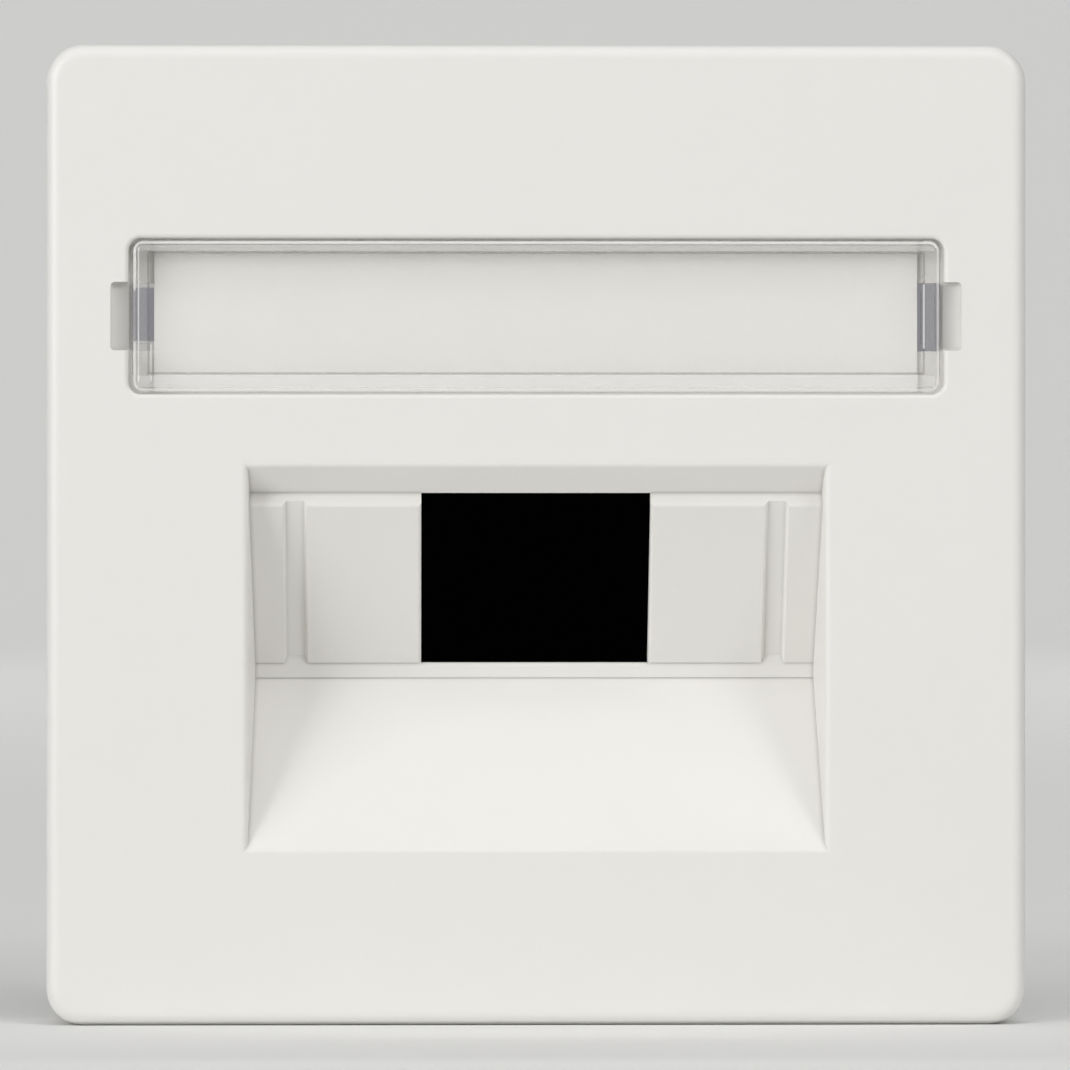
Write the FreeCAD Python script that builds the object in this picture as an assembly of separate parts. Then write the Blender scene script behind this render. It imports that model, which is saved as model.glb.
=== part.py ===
"""Outlet cover plate with a tilted jack niche and a clear snap-in label window.

Millimetres. The plate stands upright with its face towards -Y, +X to the right and +Z up.
The origin is the centre of the plane of the rear rim, where the plate seats on its support frame.
Depths are measured from the face towards the rear, so a depth d lies at Y = d - plate_depth.
"""

import FreeCAD, Part
import math
import os

from FreeCAD import Vector

# ---- Cover plate: outside and walls
plate_width = 63.0
plate_height = 63.0
plate_depth = 7.5
plate_corner_radius = 2.4
face_edge_radius = 0.9
face_thickness = 2.0
skirt_wall = 1.6

# ---- Label tray, sunk into the face
tray_length = 52.4
tray_height = 10.0
tray_centre_z = 14.05
tray_corner_radius = 0.8
tray_wall = 1.2
tray_edge_radius = 0.3

# ---- Clear label window, with a latch tongue at each end
window_end_clearance = 0.25
window_side_clearance = 0.12
window_setback = 0.05
window_depth = 2.1
window_skin = 0.9
window_end_rim = 0.95
window_top_rim = 0.7
window_bottom_rim = 1.1
window_rim_draft = 8.0
window_edge_radius = 0.35
tongue_height = 3.4
tongue_thickness = 0.8
tongue_clearance = 0.15
tongue_barb = 0.3
tongue_barb_length = 0.9
tongue_play = 0.05

# ---- Slots in the tray floor that take the tongues, and the pry notches beside the window
slot_width = 1.45
slot_height = 4.4
notch_reach = 1.15
notch_height = 4.4
notch_depth = 1.3
notch_wall = 0.35
notch_corner_radius = 0.3

# ---- Label card
card_length = 49.2
card_height = 9.2
card_thickness = 0.3
card_play = 0.05

# ---- Niche: its mouth in the face, and the places where its section bends
niche_width = 37.1
niche_top_z = 4.45
niche_height = 24.8
niche_wall = 1.4
niche_draft = 2.5
niche_edge_radius = 0.4
roof_drop = 1.73
valley_depth = 2.2
strip_height = 0.83
strip_depth = 0.6
panel_height = 10.22
panel_tilt = 30.0
panel_edge_radius = 0.2
ledge_step = 0.12
ledge_height = 0.98
ramp_step = 0.08

# ---- Jack opening through the tilted panel
jack_width = 14.8
jack_edge_radius = 0.25

# ---- Break-out grooves that run down the panel, either side of the jack opening
groove_spacing = 31.1
groove_width = 1.55
groove_floor_width = 1.15
groove_depth = 0.35

# ---- Snap legs on the rear, and the ribs that stiffen the face
leg_spacing = 30.0
leg_reach_z = 26.3
leg_width = 6.0
leg_thickness = 1.4
leg_reach = 5.5
leg_barb = 0.8
leg_tip = 0.5
frame_sheet = 1.6
gusset_run = 2.4
gusset_rise = 3.2
gusset_thickness = 1.0
rib_thickness = 1.0
rib_depth = 5.0
rib_spacing = 22.0
side_rib_z = -7.0

# ---- Worked out from the sizes above
face_y = -plate_depth
tray_depth = window_setback + window_depth + card_play + card_thickness
tray_end = tray_length / 2
window_end = tray_end - window_end_clearance
window_half_height = tray_height / 2 - window_side_clearance
niche_bottom_z = niche_top_z - niche_height
valley_z = niche_top_z - roof_drop
panel_top_z = valley_z - strip_height
panel_top_depth = valley_depth - strip_depth
panel_bottom_z = panel_top_z - panel_height
panel_slope = math.radians(panel_tilt)
panel_bottom_depth = panel_top_depth + panel_height * math.tan(panel_slope)
panel_top = Vector(0, face_y + panel_top_depth, panel_top_z)
down_panel = Vector(0, math.sin(panel_slope), -math.cos(panel_slope))
into_panel = Vector(0, math.cos(panel_slope), math.sin(panel_slope))
ledge_depth = panel_bottom_depth + ledge_step
ledge_bottom_z = panel_bottom_z - ledge_height


# ---- Shapes in common use
def box(x_range, depth_range, z_range):
    """A block between two values of x, of depth behind the face, and of z."""
    (x0, x1), (d0, d1), (z0, z1) = x_range, depth_range, z_range
    return Part.makeBox(x1 - x0, d1 - d0, z1 - z0, Vector(x0, face_y + d0, z0))


def rounded_block(width, height, radius, depth_range, centre_z=0.0):
    """A block with its four corners rounded in the plane of the face."""
    front, rear = depth_range
    x, z = width / 2, height / 2
    block = box((-x, x), (front, rear), (centre_z - z, centre_z + z))
    corners = [e for e in block.Edges if abs(e.tangentAt(e.FirstParameter).y) > 0.99]
    return block.makeFillet(radius, corners)


def swept_section(points, x_range):
    """A closed section of (depth, z) points, carried along x."""
    x0, x1 = x_range
    corners = [Vector(x0, face_y + depth, z) for depth, z in points]
    face = Part.Face(Part.makePolygon(corners + corners[:1]))
    return face.extrude(Vector(x1 - x0, 0, 0))


def plan_section(points, z_range):
    """A closed section of (x, depth) points, carried along z."""
    z0, z1 = z_range
    corners = [Vector(x, face_y + depth, z0) for x, depth in points]
    face = Part.Face(Part.makePolygon(corners + corners[:1]))
    return face.extrude(Vector(0, 0, z1 - z0))


def mirrored_pair(shape, normal=Vector(1, 0, 0)):
    """The shape and its mirror image across a middle plane."""
    return [shape, shape.mirror(Vector(0, 0, 0), normal)]


def edges_at_depth(shape, depth, x_limit, z_range):
    """The edges that lie at one depth, within x_limit of the middle and between two heights."""
    found = []
    for edge in shape.Edges:
        b = edge.BoundBox
        level = abs(b.YMin - face_y - depth) < 1e-4 and abs(b.YMax - face_y - depth) < 1e-4
        within_x = b.XMin > -x_limit and b.XMax < x_limit
        if level and within_x and b.ZMin > z_range[0] and b.ZMax < z_range[1]:
            found.append(edge)
    return found


# ---- Parts of the cover plate
def plate_shell():
    """The face with its skirt: a shallow tray, open to the rear."""
    outside = rounded_block(plate_width, plate_height, plate_corner_radius, (0, plate_depth))
    outside = outside.makeFillet(face_edge_radius, edges_at_depth(
        outside, 0, plate_width, (-plate_height, plate_height)))
    inside = rounded_block(
        plate_width - 2 * skirt_wall, plate_height - 2 * skirt_wall,
        max(plate_corner_radius - skirt_wall, 0.3), (face_thickness, plate_depth + 1))
    return outside.cut(inside)


def tray_boss():
    """The walls and floor that stand behind the face around the label tray."""
    return rounded_block(
        tray_length + 2 * tray_wall, tray_height + 2 * tray_wall,
        tray_corner_radius + tray_wall, (face_thickness / 2, tray_depth + tray_wall), tray_centre_z)


def tray_recess():
    """The pocket that takes the card and the window."""
    return rounded_block(
        tray_length, tray_height, tray_corner_radius, (-1, tray_depth), tray_centre_z)


def tongue_slots():
    """A slot through the tray floor at each end, for the window's tongues."""
    z = slot_height / 2
    slot = box((window_end - slot_width, window_end), (tray_depth - 1, tray_depth + tray_wall + 1),
               (tray_centre_z - z, tray_centre_z + z))
    return mirrored_pair(slot)


def pry_notches():
    """A sloped finger-nail notch beyond each end of the window."""
    z = notch_height / 2
    outer = tray_end + notch_reach
    section = [(outer, -1), (outer, 0), (outer - notch_wall / 3, notch_wall),
               (tray_end, notch_depth), (tray_end - tray_wall, notch_depth), (tray_end - tray_wall, -1)]
    notch = plan_section(section, (tray_centre_z - z, tray_centre_z + z))
    corners = [e for e in notch.Edges
               if e.BoundBox.XMin > outer - 1e-4 and e.BoundBox.ZLength < 1e-4]
    return mirrored_pair(notch.makeFillet(notch_corner_radius, corners))


def niche_section():
    """The open space of the niche, seen from the side: roof, strip, panel, ledge and ramp."""
    return [(0, niche_top_z), (valley_depth, valley_z), (panel_top_depth, panel_top_z),
            (panel_bottom_depth, panel_bottom_z), (ledge_depth, panel_bottom_z),
            (ledge_depth, ledge_bottom_z), (ledge_depth + ramp_step, ledge_bottom_z), (0, niche_bottom_z)]


def housing_section():
    """The same space without its two small steps, for the outside of the housing."""
    return [(0, niche_top_z), (valley_depth, valley_z), (panel_top_depth, panel_top_z),
            (ledge_depth, panel_bottom_z), (ledge_depth + ramp_step, ledge_bottom_z), (0, niche_bottom_z)]


def niche_space():
    """The niche as a solid: its section, narrowed towards the rear by the draft of its cheeks."""
    x = niche_width / 2
    reach = ledge_depth + 1
    rear_x = x - reach * math.tan(math.radians(niche_draft))
    front = 1.0
    section = niche_section()
    mouth = [(-front, niche_top_z)] + section + [(-front, niche_bottom_z)]
    cheeks = plan_section([(-x, -front), (x, -front), (x, 0), (rear_x, reach), (-rear_x, reach), (-x, 0)],
                          (niche_bottom_z - 1, niche_top_z + 1))
    space = swept_section(mouth, (-x, x)).common(cheeks)
    crest = [e for e in space.Edges
             if e.BoundBox.ZLength < 1e-4 and abs(e.BoundBox.ZMin - panel_top_z) < 1e-4]
    return space.makeFillet(panel_edge_radius, crest)


def niche_housing():
    """The walls behind the face that carry the niche."""
    x = niche_width / 2 + niche_wall
    corners = [Vector(0, face_y + depth, z) for depth, z in housing_section()]
    inner = Part.makePolygon(corners + corners[:1])
    outer = inner.makeOffset2D(niche_wall, 2)
    if Part.Face(outer).Area < Part.Face(inner).Area:
        outer = inner.makeOffset2D(-niche_wall, 2)
    block = Part.Face(outer).extrude(Vector(2 * x, 0, 0))
    block.translate(Vector(-x, 0, 0))
    behind_face = box((-x, x), (face_thickness / 2, 3 * plate_depth), (-plate_height / 2, plate_height / 2))
    return block.common(behind_face)


def jack_opening():
    """The rectangular way through the panel, from the roof's valley down to the ledge."""
    x = jack_width / 2
    return box((-x, x), (0, ledge_depth + 3 * niche_wall), (panel_bottom_z, valley_z))


def square_edge_section(corner, first, second, radius):
    """What rounding a square edge takes away. The two unit directions run along its faces."""
    a, b = first * radius, second * radius
    middle = corner + (a + b) * (1 - math.sqrt(0.5))
    outline = [corner + b, corner + b - a, corner - a - b, corner + a - b, corner + a]
    sides = [Part.makeLine(p, q) for p, q in zip(outline, outline[1:])]
    arc = Part.Arc(outline[-1], middle, outline[0]).toShape()
    return Part.Face(Part.Wire(sides + [arc]))


def down_the_panel(section):
    """A cutter that runs the whole way down the panel and stops at the plane of the ledge."""
    run_out = down_panel * (strip_height / 2)
    section.translate(run_out * -1)
    cutter = section.extrude(down_panel * (panel_height / math.cos(panel_slope)) + run_out * 2)
    x = niche_width / 2
    return cutter.common(box((-x, x), (-1, ledge_depth), (niche_bottom_z, niche_top_z)))


def jack_lips():
    """The rounding of the jack opening's two sides and of its lower edge."""
    x = jack_width / 2
    right = Vector(1, 0, 0)
    side = down_the_panel(square_edge_section(panel_top + right * x, right, into_panel, jack_edge_radius))
    foot = Vector(-x, face_y + ledge_depth, panel_bottom_z)
    lower = square_edge_section(foot, Vector(0, 0, -1), Vector(0, 1, 0), jack_edge_radius)
    return mirrored_pair(side) + [lower.extrude(right * jack_width)]


def breakout_grooves():
    """Two shallow grooves with sloped sides, open at the top and at the ledge."""
    floor, half = groove_floor_width / 2, groove_width / 2
    mouth = 2 * half - floor
    middle = panel_top + Vector(groove_spacing / 2, 0, 0)
    across = [(-floor, groove_depth), (floor, groove_depth), (mouth, -groove_depth), (-mouth, -groove_depth)]
    corners = [middle + Vector(x, 0, 0) + into_panel * depth for x, depth in across]
    return mirrored_pair(down_the_panel(Part.Face(Part.makePolygon(corners + corners[:1]))))


def snap_leg():
    """One leg with its outward barb, at the upper right; the others are its mirror images."""
    base = face_thickness / 2
    catch = plate_depth + frame_sheet
    tip = plate_depth + leg_reach
    inner_z = leg_reach_z - leg_thickness
    section = [(base, inner_z), (tip, inner_z), (tip, leg_reach_z - leg_tip),
               (catch + leg_barb / 2, leg_reach_z + leg_barb), (catch, leg_reach_z + leg_barb),
               (catch, leg_reach_z), (base, leg_reach_z)]
    x = leg_spacing / 2
    leg = swept_section(section, (x - leg_width / 2, x + leg_width / 2))
    gusset_section = [(base, inner_z), (base, inner_z - gusset_run),
                      (face_thickness, inner_z - gusset_run), (face_thickness + gusset_rise, inner_z)]
    gusset = swept_section(gusset_section, (x - gusset_thickness / 2, x + gusset_thickness / 2))
    return leg.fuse(gusset)


def face_ribs():
    """Low ribs behind the face, from the skirt to the tray boss and to the niche housing."""
    x, t = rib_spacing / 2, rib_thickness / 2
    top = plate_height / 2 - skirt_wall / 2
    upper = box((x - t, x + t), (face_thickness / 2, rib_depth), (tray_centre_z + tray_height / 2, top))
    lower = box((x - t, x + t), (face_thickness / 2, rib_depth), (-top, niche_bottom_z))
    side = box((niche_width / 2, plate_width / 2 - skirt_wall / 2), (face_thickness / 2, rib_depth),
               (side_rib_z - t, side_rib_z + t))
    return [rib for one in (upper, lower, side) for rib in mirrored_pair(one)]


def cover_plate():
    """The one-piece moulding."""
    legs = [leg for upper in mirrored_pair(snap_leg(), Vector(0, 0, 1)) for leg in mirrored_pair(upper)]
    solid = plate_shell().multiFuse([tray_boss(), niche_housing()] + legs + face_ribs()).removeSplitter()
    solid = solid.cut(niche_space())
    mouth = edges_at_depth(solid, 0, niche_width / 2 + 0.5,
                           (niche_bottom_z - 0.5, niche_top_z + 0.5))
    solid = solid.makeFillet(niche_edge_radius, mouth)
    solid = solid.cut(tray_recess())
    rim = edges_at_depth(solid, 0, tray_end + 0.5,
                         (tray_centre_z - tray_height / 2 - 0.5, tray_centre_z + tray_height / 2 + 0.5))
    solid = solid.makeFillet(tray_edge_radius, rim)
    cutters = tongue_slots() + pry_notches() + breakout_grooves() + [jack_opening()] + jack_lips()
    for cutter in cutters:
        solid = solid.cut(cutter)
    return solid.removeSplitter()


# ---- The window and the card
def latch_tongue():
    """The tongue at the right end of the window, with its outward barb behind the tray floor."""
    outer = window_end - tongue_clearance
    inner = outer - tongue_thickness
    root = window_setback + window_depth / 2
    catch = tray_depth + tray_wall + tongue_play
    tip = catch + tongue_barb_length
    section = [(inner, root), (outer, root), (outer, catch), (outer + tongue_barb, catch),
               (outer, tip), (inner, tip)]
    z = tongue_height / 2
    return plan_section(section, (tray_centre_z - z, tray_centre_z + z))


def label_window():
    """The clear lid: a skin with a rim all round, open to the card, and its two tongues."""
    rear = window_setback + window_depth
    corner_radius = tray_corner_radius - window_side_clearance
    lid = rounded_block(2 * window_end, 2 * window_half_height, corner_radius,
                        (window_setback, rear), tray_centre_z)
    lid = lid.makeFillet(window_edge_radius, edges_at_depth(
        lid, window_setback, plate_width, (-plate_height, plate_height)))
    x = window_end - window_end_rim
    z0 = tray_centre_z - window_half_height + window_bottom_rim
    z1 = tray_centre_z + window_half_height - window_top_rim
    skin = window_setback + window_skin
    flare = math.tan(math.radians(window_rim_draft))
    inset = (rear - skin) * flare
    cavity = Part.makeWedge(-x + inset, face_y + skin, z0 + inset, z0 - flare, -x - flare,
                            x - inset, face_y + rear + 1, z1 - inset, z1 + flare, x + flare)
    return lid.cut(cavity).multiFuse(mirrored_pair(latch_tongue())).removeSplitter()


def label_card():
    """The blank paper strip that lies on the tray floor under the window's rim."""
    x, z = card_length / 2, card_height / 2
    return box((-x, x), (tray_depth - card_thickness, tray_depth), (tray_centre_z - z, tray_centre_z + z))


nodes = {
    "cover_plate": cover_plate,
    "label_window": label_window,
    "label_card": label_card,
}

os.makedirs("parts", exist_ok=True)
for name, make in nodes.items():
    piece = make()
    solid = piece.Solids[0] if len(piece.Solids) == 1 else piece
    print(name, "solids", len(piece.Solids), "valid", solid.isValid(), "volume", round(solid.Volume, 2))
    solid.exportStep("parts/" + name + ".step")
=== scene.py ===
"""Dresses an outlet cover plate: satin white moulding, clear label window, blank card, and a small studio.

Everything is in metres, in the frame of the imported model: the face looks towards -Y and +Z is up.
"""

import math

import bpy
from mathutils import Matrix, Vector


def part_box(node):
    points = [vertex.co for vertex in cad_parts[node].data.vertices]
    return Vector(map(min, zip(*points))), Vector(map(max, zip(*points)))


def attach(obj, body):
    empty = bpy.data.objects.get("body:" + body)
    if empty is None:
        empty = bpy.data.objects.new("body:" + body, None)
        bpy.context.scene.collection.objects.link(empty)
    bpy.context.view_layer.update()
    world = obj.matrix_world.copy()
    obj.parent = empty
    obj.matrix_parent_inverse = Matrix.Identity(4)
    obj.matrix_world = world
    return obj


bl_info = {
    "name": "Outlet cover plate",
    "version": (1, 0, 0),
    "blender": (4, 5, 0),
    "location": "3D View > Sidebar > Cover plate",
    "description": "Finishes an outlet cover plate with its label window and card, and lights it",
    "category": "Object",
}

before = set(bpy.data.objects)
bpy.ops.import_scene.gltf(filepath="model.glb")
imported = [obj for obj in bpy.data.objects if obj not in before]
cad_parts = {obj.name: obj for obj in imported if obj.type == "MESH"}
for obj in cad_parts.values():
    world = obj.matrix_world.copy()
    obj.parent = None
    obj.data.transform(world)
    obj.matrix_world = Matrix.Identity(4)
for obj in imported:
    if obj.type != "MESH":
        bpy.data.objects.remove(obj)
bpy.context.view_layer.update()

BODY_OF_PLATE = "cover"

# The plate
PLATE_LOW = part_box("cover_plate")[0]
FACE_Y = PLATE_LOW.y
FACE_THICKNESS = 0.002
PLATE_FOOT = PLATE_LOW.z
EJECTOR_MARK_SIDES = 40

# The painted shade in the plate's creases: rays to find it, and how open a crease is, from full painted
# shade to none
CREASE_SAMPLES = 4
CREASE_OPENNESS = (0.3, 0.95)

# The clear lid: its rim, the barbs of its tongues, and the hollow inside the rim
LID_LOW, LID_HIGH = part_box("label_window")
RIM_TOP, RIM_FOOT, RIM_END = 0.0007, 0.0011, 0.00095
BARB_REACH = 0.00015
HOLLOW_HALF_LENGTH = LID_HIGH.x - BARB_REACH - RIM_END
HOLLOW_TOP, HOLLOW_FOOT = LID_HIGH.z - RIM_TOP, LID_LOW.z + RIM_FOOT
HOLLOW_MIDDLE, HOLLOW_HALF_HEIGHT = (HOLLOW_TOP + HOLLOW_FOOT) / 2, (HOLLOW_TOP - HOLLOW_FOOT) / 2

# The slots that the tongues go through, and the pry notches beside them
SLOT_MIDDLE = (LID_LOW.z + LID_HIGH.z) / 2
SLOT_HALF_HEIGHT = 0.00212
TONGUE_HALF_HEIGHT = 0.00172
NOTCH_START, NOTCH_END, NOTCH_HALF_HEIGHT = 0.0262, 0.0275, 0.0022
# Where the painted shade of the notches starts below the face, and how much more of it the right notch
# gets
NOTCH_SHADE_STARTS = (FACE_Y + 0.00005, FACE_Y + 0.0002)
RIGHT_NOTCH_SHARE = 1.5

# Painted bright and dark lines along the lid's rim, each from and to a distance beyond the edge of the
# hollow
HOLLOW_STRIPE = (-0.00020, 0.0)
LEFT_FOOT_LINE = (-0.00032, -0.00020)
LEFT_BRIGHT_LINE = (0.00048, 0.00061)
LEFT_DARK_LINE = (0.00061, 0.00073)
LEFT_LINES_HALF_LENGTH = 0.00446
LINE_SOFTNESS = 0.00005
# Where the painted highlight of the edge weakens over the left tongue, and how much of it stays
EDGE_START = (0.00060, 0.00065)
EDGE_OVER_TONGUE = 0.3
# How strong the painted light of the rim is at its ends
END_PAINTED_LIGHT = 0.35
LID_FRONT = (FACE_Y + 0.0004, FACE_Y + 0.00038)

LIGHT_THROUGH_FRONT = 0.99

# How squarely a face of the lid looks forward, from none of its kind to all of it
FLAT = (0.985, 0.999)
BENT = (0.45, 0.7)
NOT_YET_FLAT = (0.97, 0.9)
UPRIGHT_WALL = (0.5, 0.2)

# Boards of the stage behind the openings, with painted shade behind the jack opening and the slots and
# painted light
# at the ends of the left slot: name, tone, and from and to along X, Y and Z. Along Y and Z they go from
# foot to top, so that the first one leans as the panel in front of it does.
BOARDS = (
    ("dark_behind_jack_opening", "dark", (-0.010, 0.010), (0.0033, -0.0045), (-0.0105, 0.0030)),
    ("dim_behind_left_slot", "dim", (-0.0275, -0.023), (-0.0022, -0.0022), (0.01256, 0.01604)),
    ("frame_behind_left_slot", "pale", (-0.0275, -0.023), (-0.0021, -0.0021), (0.0105, 0.0175)),
    ("dim_behind_right_slot", "dim", (0.023, 0.0275), (-0.0022, -0.0022), (0.0105, 0.0175)),
)


# ---- Sizes and colours that a user would change

class PlateFinish(bpy.types.PropertyGroup):
    colour: bpy.props.FloatVectorProperty(
        name="Plastic colour", description="Colour of the white moulding",
        subtype="COLOR", size=3, min=0, max=1, default=(0.875, 0.860, 0.828))
    roughness: bpy.props.FloatProperty(
        name="Roughness", description="How satin the moulding is", min=0, max=1, default=0.36)
    ripple_size: bpy.props.FloatProperty(
        name="Ripple size", description="Width of the slow ripples left by the mould",
        subtype="DISTANCE", unit="LENGTH", default=0.004)
    grain_size: bpy.props.FloatProperty(
        name="Grain size", description="Width of the fine spark-eroded grain",
        subtype="DISTANCE", unit="LENGTH", default=0.00016)
    # Painted shade in the creases
    crease_width: bpy.props.FloatProperty(
        name="Crease width", description="How far the shade of a crease reaches",
        subtype="DISTANCE", unit="LENGTH", default=0.0003)
    crease_shade: bpy.props.FloatProperty(
        name="Shade in the creases", description="How much darker the moulding looks in its creases",
        min=0, max=1, default=0.35)
    # Painted shade in the pry notches
    notch_shade: bpy.props.FloatProperty(
        name="Shade in the notches", description="How much darker the pry notches look at their deep end",
        min=0, max=1, default=0.33)


class WindowFinish(bpy.types.PropertyGroup):
    tint: bpy.props.FloatVectorProperty(
        name="Tint", description="Colour of the clear lid", subtype="COLOR", size=3,
        min=0, max=1, default=(0.990, 0.986, 0.978))
    roughness: bpy.props.FloatProperty(
        name="Roughness", description="Polish of the clear lid", min=0, max=1, default=0.03)
    rim_light: bpy.props.FloatProperty(
        name="Light through the rim", description="How much light passes the walls of the lid's rim",
        min=0, max=1, default=0.95)
    # Painted light and shade of the lid: light on the rim, highlight on the edge, shade and light on the
    # inner line, shade on the walls
    rim_painted_light: bpy.props.FloatProperty(
        name="Milkiness of the rim", description="How milky the lid looks where its rim stands behind it",
        min=0, max=1, default=0.28)
    edge_painted_highlight: bpy.props.FloatProperty(
        name="Glow of the edge", description="How strongly the rounded edge of the lid glows",
        min=0, max=1, default=0.55)
    line_painted_shade: bpy.props.FloatProperty(
        name="Darkness of the inner line", description="How dark the line round the hollow of the lid is",
        min=0, max=1, default=0.5)
    line_painted_light: bpy.props.FloatProperty(
        name="Glow of the inner line", description="How strongly the line round the hollow glows",
        min=0, max=1, default=0.2)
    wall_painted_shade: bpy.props.FloatProperty(
        name="Darkness of the walls", description="How dark the walls of the lid's rim look",
        min=0, max=1, default=0.15)


class CardFinish(bpy.types.PropertyGroup):
    colour: bpy.props.FloatVectorProperty(
        name="Card colour", description="Colour of the blank label card", subtype="COLOR", size=3,
        min=0, max=1, default=(0.925, 0.914, 0.883))
    fibre_size: bpy.props.FloatProperty(
        name="Fibre size", description="Width of the paper's mottling",
        subtype="DISTANCE", unit="LENGTH", default=0.0005)


class EjectorMarks(bpy.types.PropertyGroup):
    radius: bpy.props.FloatProperty(
        name="Mark radius", description="Radius of the round marks that the ejector pins leave behind",
        subtype="DISTANCE", unit="LENGTH", default=0.0014)
    height: bpy.props.FloatProperty(
        name="Mark height", description="How far a mark stands proud of the rear of the face",
        subtype="DISTANCE", unit="LENGTH", default=0.00006)
    outer_width: bpy.props.FloatProperty(
        name="Outer width", description="Spread of the three columns of marks near the skirt",
        subtype="DISTANCE", unit="LENGTH", default=0.049)
    outer_height: bpy.props.FloatProperty(
        name="Outer height", description="Spread of the two rows of marks near the skirt",
        subtype="DISTANCE", unit="LENGTH", default=0.0525)
    side_width: bpy.props.FloatProperty(
        name="Side width", description="Spread of the marks beside the niche housing",
        subtype="DISTANCE", unit="LENGTH", default=0.050)
    side_height: bpy.props.FloatProperty(
        name="Side height", description="Height between the marks beside the niche housing",
        subtype="DISTANCE", unit="LENGTH", default=0.015)
    side_middle: bpy.props.FloatProperty(
        name="Side middle", description="Height of the middle of the marks beside the niche housing",
        subtype="DISTANCE", unit="LENGTH", default=-0.007)


class StudioSettings(bpy.types.PropertyGroup):
    floor_colour: bpy.props.FloatVectorProperty(
        name="Floor colour", description="Colour of the pale floor and backdrop", subtype="COLOR", size=3,
        min=0, max=1, default=(0.86, 0.86, 0.85))
    # Tones of the boards: painted shade behind the jack opening and the slots, painted light at the ends
    # of the left slot
    box_painted_shade_tone: bpy.props.FloatVectorProperty(
        name="Wall box tone", description="How dark the wall box looks through the jack opening",
        subtype="COLOR", size=3, min=0, max=1, default=(0.0005, 0.0005, 0.0005))
    slot_painted_shade_tone: bpy.props.FloatVectorProperty(
        name="Slot tone", description="How dim the wall box looks through the two slots", subtype="COLOR",
        size=3, min=0, max=1, default=(0.255, 0.255, 0.275))
    frame_painted_light_tone: bpy.props.FloatVectorProperty(
        name="Frame tone", description="How pale the support frame looks at the ends of the two slots",
        subtype="COLOR", size=3, min=0, max=1, default=(0.46, 0.455, 0.44))
    camera_distance: bpy.props.FloatProperty(
        name="Camera distance", description="From the face of the plate to the camera",
        subtype="DISTANCE", unit="LENGTH", default=0.45)
    view_width: bpy.props.FloatProperty(
        name="View width", description="Width of the picture at the face of the plate",
        subtype="DISTANCE", unit="LENGTH", default=0.0687)
    camera_side: bpy.props.FloatProperty(
        name="Camera side step", description="How far the camera stands to the left of the middle",
        subtype="DISTANCE", unit="LENGTH", default=0.008)
    camera_aim: bpy.props.FloatProperty(
        name="Camera aim", description="Where the camera looks, to the right of the middle of the face",
        subtype="DISTANCE", unit="LENGTH", default=-0.0001)


# Name, azimuth and elevation in degrees, distance, width and height in metres, and power in watts, of the
# lights aimed at the face
SOFTBOXES = (
    ("left_lamp", -40, 28, 1.0, 0.25, 0.25, 1.1),
    ("right_lamp", 39, 28, 1.0, 0.25, 0.25, 1.0),
    ("left_softbox", -50, 12, 1.1, 0.7, 0.35, 4.0),
    ("left_side_softbox", -67, 22, 1.1, 0.6, 0.6, 0.68),
    ("right_softbox", 50, 35, 1.1, 0.7, 0.7, 2.8),
    ("front_softbox", 0, 47, 1.1, 0.7, 0.7, 1.58),
    ("top_softbox", 0, 75, 1.1, 0.8, 0.8, 2.45),
)

# Name, place, target, width, height and power of the light aimed at the backdrop
BACKDROP_LIGHT = ("backdrop_softbox", Vector((0, 0.7, 1.5)), (0, 2.5, 0.2), 2.0, 0.5, 23.0)

# The camera
SENSOR_WIDTH_MM = 36.0
NEAREST_SEEN, FARTHEST_SEEN = 0.01, 20.0


# ---- Node helpers

def new_material(name):
    """An empty node material, and its tree."""
    material = bpy.data.materials.new(name)
    material.use_nodes = True
    material.node_tree.nodes.clear()
    return material, material.node_tree


def add_node(tree, kind, **inputs):
    """A node, with its inputs set by name."""
    node = tree.nodes.new(kind)
    for key, value in inputs.items():
        node.inputs[key.replace("_", " ")].default_value = value
    return node


def maths(tree, operation, *values):
    """The output of a maths node. Its values are numbers or the outputs of other nodes."""
    node = tree.nodes.new("ShaderNodeMath")
    node.operation = operation
    for socket, value in zip(node.inputs, values):
        if isinstance(value, (int, float)):
            socket.default_value = value
        else:
            tree.links.new(value, socket)
    return node.outputs[0]


def ramped(tree, value, start, end, low=0.0, high=1.0):
    """The output of a node that leads from low to high while the value goes from start to end."""
    node = tree.nodes.new("ShaderNodeMapRange")
    for label, number in (("From Min", start), ("From Max", end), ("To Min", low), ("To Max", high)):
        node.inputs[label].default_value = number
    tree.links.new(value, node.inputs["Value"])
    return node.outputs["Result"]


def product(tree, *values):
    """The output of maths nodes that multiply all the values."""
    result = values[0]
    for value in values[1:]:
        result = maths(tree, "MULTIPLY", result, value)
    return result


def band(tree, value, limits, soft=LINE_SOFTNESS):
    """The output of nodes that give one while the value lies between two limits, with soft edges."""
    start, end = limits
    return product(tree, ramped(tree, value, start, start + soft), ramped(tree, value, end, end - soft))


def distance_from(tree, value, middle=0.0):
    """The output of nodes that give how far the value is from a middle, to either side."""
    return maths(tree, "ABSOLUTE", maths(tree, "SUBTRACT", value, middle))


def scaled(tree, colour, factor):
    """The output of a node that scales a colour, which is three numbers or an output, by an output."""
    node = tree.nodes.new("ShaderNodeVectorMath")
    node.operation = "SCALE"
    if isinstance(colour, bpy.types.NodeSocket):
        tree.links.new(colour, node.inputs[0])
    else:
        node.inputs[0].default_value = colour
    tree.links.new(factor, node.inputs["Scale"])
    return node.outputs["Vector"]


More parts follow.
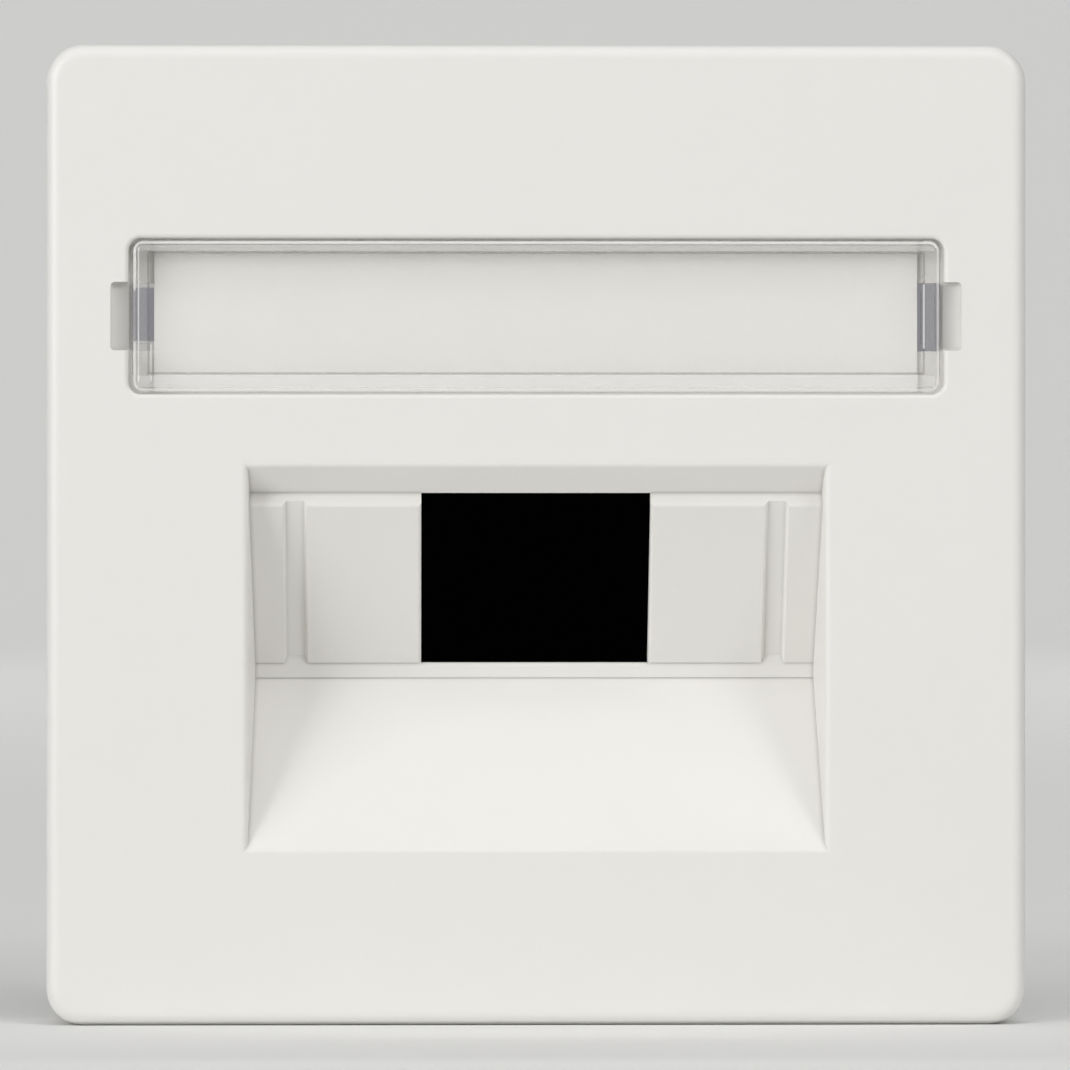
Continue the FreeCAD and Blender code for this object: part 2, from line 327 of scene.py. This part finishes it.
def parts_of(tree, vector):
    """The three outputs of a node that takes a vector apart, by the name of the axis."""
    node = tree.nodes.new("ShaderNodeSeparateXYZ")
    tree.links.new(vector, node.inputs["Vector"])
    return node.outputs


def mixed(tree, share, first, second):
    """The output of a node that mixes two shaders. The share is that of the second."""
    node = tree.nodes.new("ShaderNodeMixShader")
    for socket, value in zip(node.inputs, (share, first, second)):
        tree.links.new(value, socket)
    return node.outputs["Shader"]


def shown(tree, shader):
    """Makes a shader's output the surface of its material."""
    out = tree.nodes.new("ShaderNodeOutputMaterial")
    tree.links.new(shader, out.inputs["Surface"])


def mask_group(name, *labels):
    """A new node group that puts out masks, and its output node."""
    group = bpy.data.node_groups.new(name, "ShaderNodeTree")
    for label in labels:
        group.interface.new_socket(label, in_out="OUTPUT", socket_type="NodeSocketFloat")
    return group, group.nodes.new("NodeGroupOutput")


def placed_group(tree, group):
    """The node of a group placed in a material."""
    node = tree.nodes.new("ShaderNodeGroup")
    node.node_tree = group
    return node


def link(obj):
    """Puts an object in the scene."""
    bpy.context.scene.collection.objects.link(obj)
    return obj


def assign(node_object, material):
    """Gives a CAD node its new material."""
    node_object.data.materials.clear()
    node_object.data.materials.append(material)


def moulded_surface_group():
    """Node group: cloudy colour, uneven gloss and a fine height for moulded plastic and paper."""
    group = bpy.data.node_groups.new("moulded_surface", "ShaderNodeTree")
    sockets = group.interface
    sockets.new_socket("Colour", in_out="INPUT", socket_type="NodeSocketColor")
    for label, value in (("Cloud scale", 60.0), ("Cloud strength", 0.02), ("Ripple scale", 250.0),
                         ("Grain scale", 6000.0), ("Ripple height", 0.5), ("Grain height", 0.5),
                         ("Roughness", 0.4), ("Roughness spread", 0.05)):
        socket = sockets.new_socket(label, in_out="INPUT", socket_type="NodeSocketFloat")
        socket.default_value = value
    sockets.new_socket("Colour", in_out="OUTPUT", socket_type="NodeSocketColor")
    sockets.new_socket("Roughness", in_out="OUTPUT", socket_type="NodeSocketFloat")
    sockets.new_socket("Height", in_out="OUTPUT", socket_type="NodeSocketFloat")
    nodes, links = group.nodes, group.links
    given = nodes.new("NodeGroupInput")
    out = nodes.new("NodeGroupOutput")
    place = nodes.new("ShaderNodeTexCoord")

    def noise(scale_name, detail):
        node = nodes.new("ShaderNodeTexNoise")
        node.inputs["Detail"].default_value = detail
        links.new(place.outputs["Object"], node.inputs["Vector"])
        links.new(given.outputs[scale_name], node.inputs["Scale"])
        return node.outputs["Fac"]

    cloud = noise("Cloud scale", 3.0)
    ripple = noise("Ripple scale", 2.0)
    grain = noise("Grain scale", 1.0)
    swing = maths(group, "SUBTRACT", cloud, 0.5)
    shade = maths(group, "MULTIPLY_ADD", swing, given.outputs["Cloud strength"], 1.0)
    links.new(scaled(group, given.outputs["Colour"], shade), out.inputs["Colour"])
    rough_swing = maths(group, "SUBTRACT", ripple, 0.5)
    rough = maths(group, "MULTIPLY_ADD", rough_swing, given.outputs["Roughness spread"],
                  given.outputs["Roughness"])
    links.new(rough, out.inputs["Roughness"])
    low = maths(group, "MULTIPLY", ripple, given.outputs["Ripple height"])
    height = maths(group, "MULTIPLY_ADD", grain, given.outputs["Grain height"], low)
    links.new(height, out.inputs["Height"])
    return group


def surface_material(name, group, values, colour, bump_distance, ior, shade=None):
    """A material whose Principled shader is fed by the surface group. The shade, if there is one, makes
    the output that scales the colour."""
    material, tree = new_material(name)
    surface = placed_group(tree, group)
    surface.inputs["Colour"].default_value = (*colour, 1)
    for label, value in values.items():
        surface.inputs[label].default_value = value
    bump = add_node(tree, "ShaderNodeBump", Strength=1.0, Distance=bump_distance)
    shader = add_node(tree, "ShaderNodeBsdfPrincipled", IOR=ior)
    tinted = surface.outputs["Colour"]
    if shade:
        tinted = scaled(tree, tinted, shade(tree))
    tree.links.new(surface.outputs["Height"], bump.inputs["Height"])
    tree.links.new(tinted, shader.inputs["Base Color"])
    tree.links.new(surface.outputs["Roughness"], shader.inputs["Roughness"])
    tree.links.new(bump.outputs["Normal"], shader.inputs["Normal"])
    shown(tree, shader.outputs["BSDF"])
    return material


# ---- Materials

def notch_mask_group():
    """Node group: painted shade in the two pry notches beside the lid, from nothing at their shallow end
    to full at the tray. The right one gets more painted shade than the left one."""
    group, out = mask_group("notch_mask", "Notch")
    place = parts_of(group, group.nodes.new("ShaderNodeTexCoord").outputs["Object"])
    deeper = ramped(group, distance_from(group, place["X"]), NOTCH_END, NOTCH_START)
    off_middle = distance_from(group, place["Z"], SLOT_MIDDLE)
    beside = ramped(group, off_middle, NOTCH_HALF_HEIGHT, NOTCH_HALF_HEIGHT - 0.0002)
    below_face = ramped(group, place["Y"], *NOTCH_SHADE_STARTS)
    towards_right = ramped(group, place["X"], -0.001, 0.001, 1.0, RIGHT_NOTCH_SHARE)
    group.links.new(product(group, deeper, beside, below_face, towards_right), out.inputs["Notch"])
    return group


def white_moulding(finish, group):
    """Satin white plastic, with painted shade in its creases and in the pry notches."""
    def shade(tree):
        # Painted shade: darker in the creases, and towards the deep end of the pry notches
        notch = placed_group(tree, notch_mask_group()).outputs["Notch"]
        crease = add_node(tree, "ShaderNodeAmbientOcclusion", Distance=finish.crease_width)
        crease.samples = CREASE_SAMPLES
        open_share = ramped(tree, crease.outputs["AO"], *CREASE_OPENNESS, 1 - finish.crease_shade, 1.0)
        lit = maths(tree, "SUBTRACT", 1.0, maths(tree, "MULTIPLY", notch, finish.notch_shade))
        return maths(tree, "MULTIPLY", lit, open_share)

    return surface_material("satin_white_moulding", group, {
        "Cloud scale": 55.0, "Cloud strength": 0.02,
        "Ripple scale": 1 / finish.ripple_size, "Grain scale": 1 / finish.grain_size,
        "Ripple height": 0.7, "Grain height": 0.3,
        "Roughness": finish.roughness, "Roughness spread": 0.08,
    }, finish.colour, bump_distance=0.000006, ior=1.5, shade=shade)


def lid_masks_group():
    """Node group: where the clear lid has painted light on its rim, painted highlights on its edge and
    lines, and painted shade on the walls of the rim and where they stand behind its front. Its two ends
    get different painted light."""
    group, out = mask_group("lid_masks", "Rim", "Glow", "Wall", "Wall behind")
    place = parts_of(group, group.nodes.new("ShaderNodeTexCoord").outputs["Object"])
    normal = parts_of(group, group.nodes.new("ShaderNodeNewGeometry").outputs["Normal"])

    # Distances across the lid
    beyond_end = maths(group, "SUBTRACT", distance_from(group, place["X"]), HOLLOW_HALF_LENGTH)
    off_middle = distance_from(group, place["Z"], HOLLOW_MIDDLE)
    off_slot = distance_from(group, place["Z"], SLOT_MIDDLE)
    beyond_side = maths(group, "SUBTRACT", off_middle, HOLLOW_HALF_HEIGHT)
    beyond_hollow = maths(group, "MAXIMUM", beyond_end, beyond_side)

    # Its front: flat, or bent at the rounded edge
    near_front = ramped(group, place["Y"], *LID_FRONT)
    square_on = distance_from(group, normal["Y"])
    flat = product(group, near_front, ramped(group, square_on, *FLAT))
    bent = product(group, near_front, ramped(group, square_on, *BENT),
                   ramped(group, square_on, *NOT_YET_FLAT))

    # Painted light on the rim, stronger along the top and the foot than at the ends
    at_end = ramped(group, beyond_end, 0.0, LINE_SOFTNESS, 0.0, END_PAINTED_LIGHT)
    over_rim = maths(group, "MAXIMUM", ramped(group, beyond_side, 0.0, LINE_SOFTNESS), at_end)

    # The left end: a painted bright line and a painted dark line, and a short painted bright line below
    # the tongue
    left_half = ramped(group, place["X"], 0.0, -0.001)
    in_reach = ramped(group, off_middle, LEFT_LINES_HALF_LENGTH, LEFT_LINES_HALF_LENGTH - 0.00016)
    left_end = product(group, flat, left_half, in_reach)
    tongue_foot = SLOT_MIDDLE - TONGUE_HALF_HEIGHT
    below_tongue = ramped(group, place["Z"], tongue_foot, tongue_foot - 0.0001)
    left_line = product(group, left_end, band(group, beyond_end, LEFT_BRIGHT_LINE))
    left_dark = product(group, left_end, band(group, beyond_end, LEFT_DARK_LINE, 0.00003))
    left_foot = product(group, left_end, below_tongue, band(group, beyond_end, LEFT_FOOT_LINE))
    over_tongue = product(group, left_half, ramped(group, beyond_end, *EDGE_START),
                          ramped(group, off_slot, TONGUE_HALF_HEIGHT, TONGUE_HALF_HEIGHT - 0.0001))

    # The stripe round the hollow gets painted shade, but a painted bright line over the right slot
    stripe = product(group, flat, band(group, beyond_hollow, HOLLOW_STRIPE))
    stripe_start = HOLLOW_STRIPE[0]
    right_line = product(group, stripe, ramped(group, place["X"], 0.0, 0.001),
                         ramped(group, off_slot, SLOT_HALF_HEIGHT, SLOT_HALF_HEIGHT - 0.0001),
                         ramped(group, beyond_end, stripe_start, stripe_start + LINE_SOFTNESS))

    # The painted highlight on the rounded edge is weaker over the left tongue
    edge = product(group, bent, ramped(group, over_tongue, 0.0, 1.0, 1.0, EDGE_OVER_TONGUE))
    lines = maths(group, "ADD", maths(group, "ADD", left_line, left_foot), right_line)
    dark = maths(group, "SUBTRACT", maths(group, "ADD", stripe, left_dark), right_line)
    group.links.new(product(group, flat, over_rim), out.inputs["Rim"])
    group.links.new(maths(group, "ADD", edge, lines), out.inputs["Glow"])
    group.links.new(ramped(group, square_on, *UPRIGHT_WALL), out.inputs["Wall"])
    group.links.new(dark, out.inputs["Wall behind"])
    return group


def clear_moulding(finish):
    """Clear polished plastic. Soft light goes straight through it, so that the card behind is lit. Its rim
    has a faint painted light, its rounded edge a painted highlight, and the walls of the rim hold light
    back and have painted shade, so that they draw dark lines."""
    material, tree = new_material("clear_polished_lid")
    masks = placed_group(tree, lid_masks_group()).outputs
    # Painted shade on the walls of the rim and on the line round the hollow
    dark = maths(tree, "MAXIMUM", maths(tree, "MULTIPLY", masks["Wall"], finish.wall_painted_shade),
                 maths(tree, "MULTIPLY", masks["Wall behind"], finish.line_painted_shade))
    colour = scaled(tree, finish.tint, maths(tree, "SUBTRACT", 1.0, dark))

    def plastic(transmission):
        shader = add_node(tree, "ShaderNodeBsdfPrincipled", Roughness=finish.roughness, IOR=1.49,
                          Transmission_Weight=transmission, Specular_Tint=(*finish.tint, 1))
        tree.links.new(colour, shader.inputs["Base Color"])
        return shader.outputs["BSDF"]

    # Painted light: the rim, the rounded edge and the lines turn partly white
    painted_light = maths(tree, "MULTIPLY", masks["Rim"], finish.rim_painted_light)
    for label, amount in (("Glow", finish.edge_painted_highlight), ("Wall behind", finish.line_painted_light)):
        painted_light = maths(tree, "MULTIPLY_ADD", masks[label], amount, painted_light)
    seen = mixed(tree, painted_light, plastic(1.0), plastic(0.0))
    through = tree.nodes.new("ShaderNodeBsdfTransparent")
    passes = ramped(tree, masks["Wall"], 0.0, 1.0, LIGHT_THROUGH_FRONT, finish.rim_light)
    tree.links.new(passes, through.inputs["Color"])
    ray = tree.nodes.new("ShaderNodeLightPath").outputs
    soft = maths(tree, "MAXIMUM", ray["Is Shadow Ray"], ray["Is Diffuse Ray"])
    shown(tree, mixed(tree, soft, seen, through.outputs["BSDF"]))
    return material


def blank_card(finish, group):
    """Matt paper with a faint mottling of fibres."""
    return surface_material("blank_matt_card", group, {
        "Cloud scale": 1 / (8 * finish.fibre_size), "Cloud strength": 0.02,
        "Ripple scale": 1 / finish.fibre_size, "Grain scale": 4 / finish.fibre_size,
        "Ripple height": 0.5, "Grain height": 0.5,
        "Roughness": 0.85, "Roughness spread": 0.05,
    }, finish.colour, bump_distance=0.00002, ior=1.4)


# ---- Geometry Nodes

def ejector_marks_tree(material):
    """Tree: low round marks on two grids, stood upright and put on the rear of the face."""
    tree = bpy.data.node_groups.new("ejector_marks", "GeometryNodeTree")
    sockets = tree.interface
    sockets.new_socket("Geometry", in_out="OUTPUT", socket_type="NodeSocketGeometry")
    for label in ("Mark radius", "Mark height", "Outer width", "Outer height", "Side width",
                  "Side height", "Side middle", "Rear of face"):
        sockets.new_socket(label, in_out="INPUT", socket_type="NodeSocketFloat")
    nodes, links = tree.nodes, tree.links
    given = nodes.new("NodeGroupInput")
    out = nodes.new("NodeGroupOutput")

    def grid(width, height, columns):
        node = nodes.new("GeometryNodeMeshGrid")
        node.inputs["Vertices X"].default_value = columns
        node.inputs["Vertices Y"].default_value = 2
        links.new(given.outputs[width], node.inputs["Size X"])
        links.new(given.outputs[height], node.inputs["Size Y"])
        return node.outputs["Mesh"]

    def moved(geometry, turn=0.0, **along):
        node = nodes.new("GeometryNodeTransform")
        node.inputs["Rotation"].default_value = (turn, 0, 0)
        place = nodes.new("ShaderNodeCombineXYZ")
        for axis, socket in along.items():
            links.new(given.outputs[socket], place.inputs[axis])
        links.new(place.outputs["Vector"], node.inputs["Translation"])
        links.new(geometry, node.inputs["Geometry"])
        return node.outputs["Geometry"]

    spots = nodes.new("GeometryNodeJoinGeometry")
    links.new(grid("Outer width", "Outer height", 3), spots.inputs["Geometry"])
    links.new(moved(grid("Side width", "Side height", 2), Y="Side middle"), spots.inputs["Geometry"])
    thickness = maths(tree, "MULTIPLY", given.outputs["Mark height"], 2.0)
    mark = nodes.new("GeometryNodeMeshCylinder")
    mark.inputs["Vertices"].default_value = EJECTOR_MARK_SIDES
    links.new(given.outputs["Mark radius"], mark.inputs["Radius"])
    links.new(thickness, mark.inputs["Depth"])
    copies = nodes.new("GeometryNodeInstanceOnPoints")
    links.new(spots.outputs["Geometry"], copies.inputs["Points"])
    links.new(mark.outputs["Mesh"], copies.inputs["Instance"])
    upright = moved(copies.outputs["Instances"], turn=math.pi / 2, Y="Rear of face")
    real = nodes.new("GeometryNodeRealizeInstances")
    links.new(upright, real.inputs["Geometry"])
    paint = nodes.new("GeometryNodeSetMaterial")
    paint.inputs["Material"].default_value = material
    links.new(real.outputs["Geometry"], paint.inputs["Geometry"])
    links.new(paint.outputs["Geometry"], out.inputs["Geometry"])
    return tree


def grown_mesh(name, tree, sizes):
    """A plain mesh object from a Geometry Nodes tree and its named sizes."""
    grower = link(bpy.data.objects.new(name, bpy.data.meshes.new(name + "_seed")))
    modifier = grower.modifiers.new(name, "NODES")
    modifier.node_group = tree
    for socket in tree.interface.items_tree:
        if socket.in_out == "INPUT":
            modifier[socket.identifier] = sizes[socket.name]
    evaluated = grower.evaluated_get(bpy.context.evaluated_depsgraph_get())
    mesh = bpy.data.meshes.new_from_object(evaluated)
    mesh.name = name
    bpy.data.objects.remove(grower)
    return link(bpy.data.objects.new(name, mesh))


# ---- Operators

class FACEPLATE_OT_cover_plate(bpy.types.Operator):
    """Give the one-piece cover plate its satin white finish"""
    bl_idname = "faceplate.cover_plate"
    bl_label = "Finish the cover plate"

    def execute(self, context):
        group = bpy.data.node_groups.get("moulded_surface") or moulded_surface_group()
        assign(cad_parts["cover_plate"], white_moulding(context.scene.plate_finish, group))
        return {"FINISHED"}


class FACEPLATE_OT_ejector_marks(bpy.types.Operator):
    """Add the marks of the ejector pins behind the face"""
    bl_idname = "faceplate.ejector_marks"
    bl_label = "Add the ejector marks"

    def execute(self, context):
        marks = context.scene.ejector_marks
        tree = ejector_marks_tree(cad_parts["cover_plate"].data.materials[0])
        piece = grown_mesh("ejector_marks", tree, {
            "Mark radius": marks.radius, "Mark height": marks.height,
            "Outer width": marks.outer_width, "Outer height": marks.outer_height,
            "Side width": marks.side_width, "Side height": marks.side_height,
            "Side middle": marks.side_middle, "Rear of face": FACE_Y + FACE_THICKNESS,
        })
        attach(piece, BODY_OF_PLATE)
        return {"FINISHED"}


class FACEPLATE_OT_label_window(bpy.types.Operator):
    """Make the label window clear"""
    bl_idname = "faceplate.label_window"
    bl_label = "Finish the label window"

    def execute(self, context):
        assign(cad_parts["label_window"], clear_moulding(context.scene.window_finish))
        return {"FINISHED"}


class FACEPLATE_OT_label_card(bpy.types.Operator):
    """Give the label card its blank paper"""
    bl_idname = "faceplate.label_card"
    bl_label = "Finish the label card"

    def execute(self, context):
        group = bpy.data.node_groups.get("moulded_surface") or moulded_surface_group()
        assign(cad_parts["label_card"], blank_card(context.scene.card_finish, group))
        return {"FINISHED"}


def around_face(azimuth, elevation, distance):
    """A place round the middle of the face. The azimuth is measured to the right of straight ahead."""
    side, up = math.radians(azimuth), math.radians(elevation)
    towards = Vector((math.sin(side) * math.cos(up), -math.cos(side) * math.cos(up), math.sin(up)))
    return Vector((0, FACE_Y, 0)) + towards * distance


def add_softbox(name, place, target, width, height, power):
    """A soft rectangular light at a place, aimed at a target."""
    data = bpy.data.lights.new(name, "AREA")
    data.shape = "RECTANGLE"
    data.size, data.size_y = width, height
    data.energy = power
    lamp = link(bpy.data.objects.new(name, data))
    lamp.location = place
    lamp.rotation_euler = (Vector(target) - place).to_track_quat("-Z", "Y").to_euler()


def add_floor(colour):
    """A pale floor that curves up into a backdrop far behind the plate."""
    half, front, back, rise, bend = 3.0, -2.5, 2.5, 2.5, 1.0
    steps = 24
    profile = [(front, 0.0), (back - bend, 0.0)]
    for i in range(1, steps + 1):
        a = math.pi / 2 * i / steps
        profile.append((back - bend + bend * math.sin(a), bend - bend * math.cos(a)))
    profile.append((back, rise))
    verts = [(x, y, PLATE_FOOT + z) for y, z in profile for x in (-half, half)]
    faces = [(2 * i, 2 * i + 1, 2 * i + 3, 2 * i + 2) for i in range(len(profile) - 1)]
    mesh = bpy.data.meshes.new("studio_floor")
    mesh.from_pydata(verts, [], faces)
    for polygon in mesh.polygons:
        polygon.use_smooth = True
    floor = link(bpy.data.objects.new("studio_floor", mesh))
    material, tree = new_material("studio_paper")
    shader = add_node(tree, "ShaderNodeBsdfPrincipled", Base_Color=(*colour, 1), Roughness=0.9)
    shown(tree, shader.outputs["BSDF"])
    mesh.materials.append(material)


def painted_board_material(name, tone):
    """A flat tone of painted shade or painted light, for whoever looks in from the front. From behind, and
    for the light, it isn't there.
    """
    material, tree = new_material(name)
    glow = add_node(tree, "ShaderNodeEmission", Color=(*tone, 1))
    clear = tree.nodes.new("ShaderNodeBsdfTransparent")
    ray = tree.nodes.new("ShaderNodeLightPath").outputs
    behind = tree.nodes.new("ShaderNodeNewGeometry").outputs["Backfacing"]
    looks = maths(tree, "MAXIMUM", ray["Is Camera Ray"], ray["Is Transmission Ray"])
    looks = maths(tree, "MAXIMUM", looks, ray["Is Glossy Ray"])
    from_front = maths(tree, "MAXIMUM", maths(tree, "SUBTRACT", looks, behind), 0.0)
    shown(tree, mixed(tree, from_front, clear.outputs["BSDF"], glow.outputs["Emission"]))
    return material


def add_board(name, material, x_range, y_range, z_range):
    """A flat board that faces the front, behind an opening of the plate. It may lean from foot to top."""
    (x0, x1), (y0, y1), (z0, z1) = x_range, y_range, z_range
    mesh = bpy.data.meshes.new(name)
    mesh.from_pydata([(x0, y0, z0), (x1, y0, z0), (x1, y1, z1), (x0, y1, z1)], [], [(0, 1, 2, 3)])
    mesh.materials.append(material)
    link(bpy.data.objects.new(name, mesh))


class FACEPLATE_OT_wall_box(bpy.types.Operator):
    """Put boards of painted shade behind the jack opening and the two slots, and of painted light at the
    ends of the left slot
    """
    bl_idname = "faceplate.wall_box"
    bl_label = "Set up the wall box"

    def execute(self, context):
        studio = context.scene.studio_settings
        # Each board shows its painted shade or painted light to the front only
        materials = {
            "dark": painted_board_material("painted_shade_wall_box", studio.box_painted_shade_tone),
            "dim": painted_board_material("painted_dim_shade_wall_box", studio.slot_painted_shade_tone),
            "pale": painted_board_material("painted_light_support_frame", studio.frame_painted_light_tone),
        }
        for name, tone, *ranges in BOARDS:
            add_board(name, materials[tone], *ranges)
        return {"FINISHED"}


class FACEPLATE_OT_studio(bpy.types.Operator):
    """Set up the floor, the soft lights and the camera"""
    bl_idname = "faceplate.studio"
    bl_label = "Set up the studio"

    def execute(self, context):
        scene = context.scene
        studio = scene.studio_settings
        scene.view_settings.view_transform = "Standard"
        add_floor(studio.floor_colour)
        for name, azimuth, elevation, distance, width, height, power in SOFTBOXES:
            place = around_face(azimuth, elevation, distance)
            add_softbox(name, place, (0, FACE_Y, 0), width, height, power)
        add_softbox(*BACKDROP_LIGHT)
        world = bpy.data.worlds.new("studio_air")
        world.use_nodes = True
        world.node_tree.nodes["Background"].inputs["Color"].default_value = (1, 1, 1, 1)
        world.node_tree.nodes["Background"].inputs["Strength"].default_value = 0.0
        scene.world = world
        data = bpy.data.cameras.new("front_camera")
        camera = link(bpy.data.objects.new("front_camera", data))
        camera.location = (-studio.camera_side, FACE_Y - studio.camera_distance, 0.0)
        aim = Vector((studio.camera_aim, FACE_Y, 0.0))
        camera.rotation_euler = (aim - camera.location).to_track_quat("-Z", "Y").to_euler()
        data.sensor_width = SENSOR_WIDTH_MM
        data.lens = SENSOR_WIDTH_MM * studio.camera_distance / studio.view_width
        data.clip_start, data.clip_end = NEAREST_SEEN, FARTHEST_SEEN
        scene.camera = camera
        return {"FINISHED"}


class FACEPLATE_PT_panel(bpy.types.Panel):
    """The cover plate's steps and settings"""
    bl_idname = "FACEPLATE_PT_panel"
    bl_label = "Cover plate"
    bl_space_type = "VIEW_3D"
    bl_region_type = "UI"
    bl_category = "Cover plate"

    def draw(self, context):
        for settings in GROUPS:
            group = getattr(context.scene, settings)
            for name in group.__annotations__:
                self.layout.prop(group, name)
        for operator in OPERATORS:
            self.layout.operator(operator.bl_idname)


GROUPS = {"plate_finish": PlateFinish, "window_finish": WindowFinish,
          "card_finish": CardFinish, "ejector_marks": EjectorMarks, "studio_settings": StudioSettings}
OPERATORS = (FACEPLATE_OT_cover_plate, FACEPLATE_OT_ejector_marks, FACEPLATE_OT_label_window,
             FACEPLATE_OT_label_card, FACEPLATE_OT_wall_box, FACEPLATE_OT_studio)


def register():
    for cls in (*GROUPS.values(), *OPERATORS, FACEPLATE_PT_panel):
        bpy.utils.register_class(cls)
    for name, cls in GROUPS.items():
        setattr(bpy.types.Scene, name, bpy.props.PointerProperty(type=cls))


def unregister():
    for name in GROUPS:
        delattr(bpy.types.Scene, name)
    for cls in reversed((*GROUPS.values(), *OPERATORS, FACEPLATE_PT_panel)):
        bpy.utils.unregister_class(cls)


def main():
    register()
    bpy.ops.faceplate.cover_plate()
    bpy.ops.faceplate.ejector_marks()
    bpy.ops.faceplate.label_window()
    bpy.ops.faceplate.label_card()
    bpy.ops.faceplate.wall_box()
    bpy.ops.faceplate.studio()


if __name__ == "__main__":
    main()
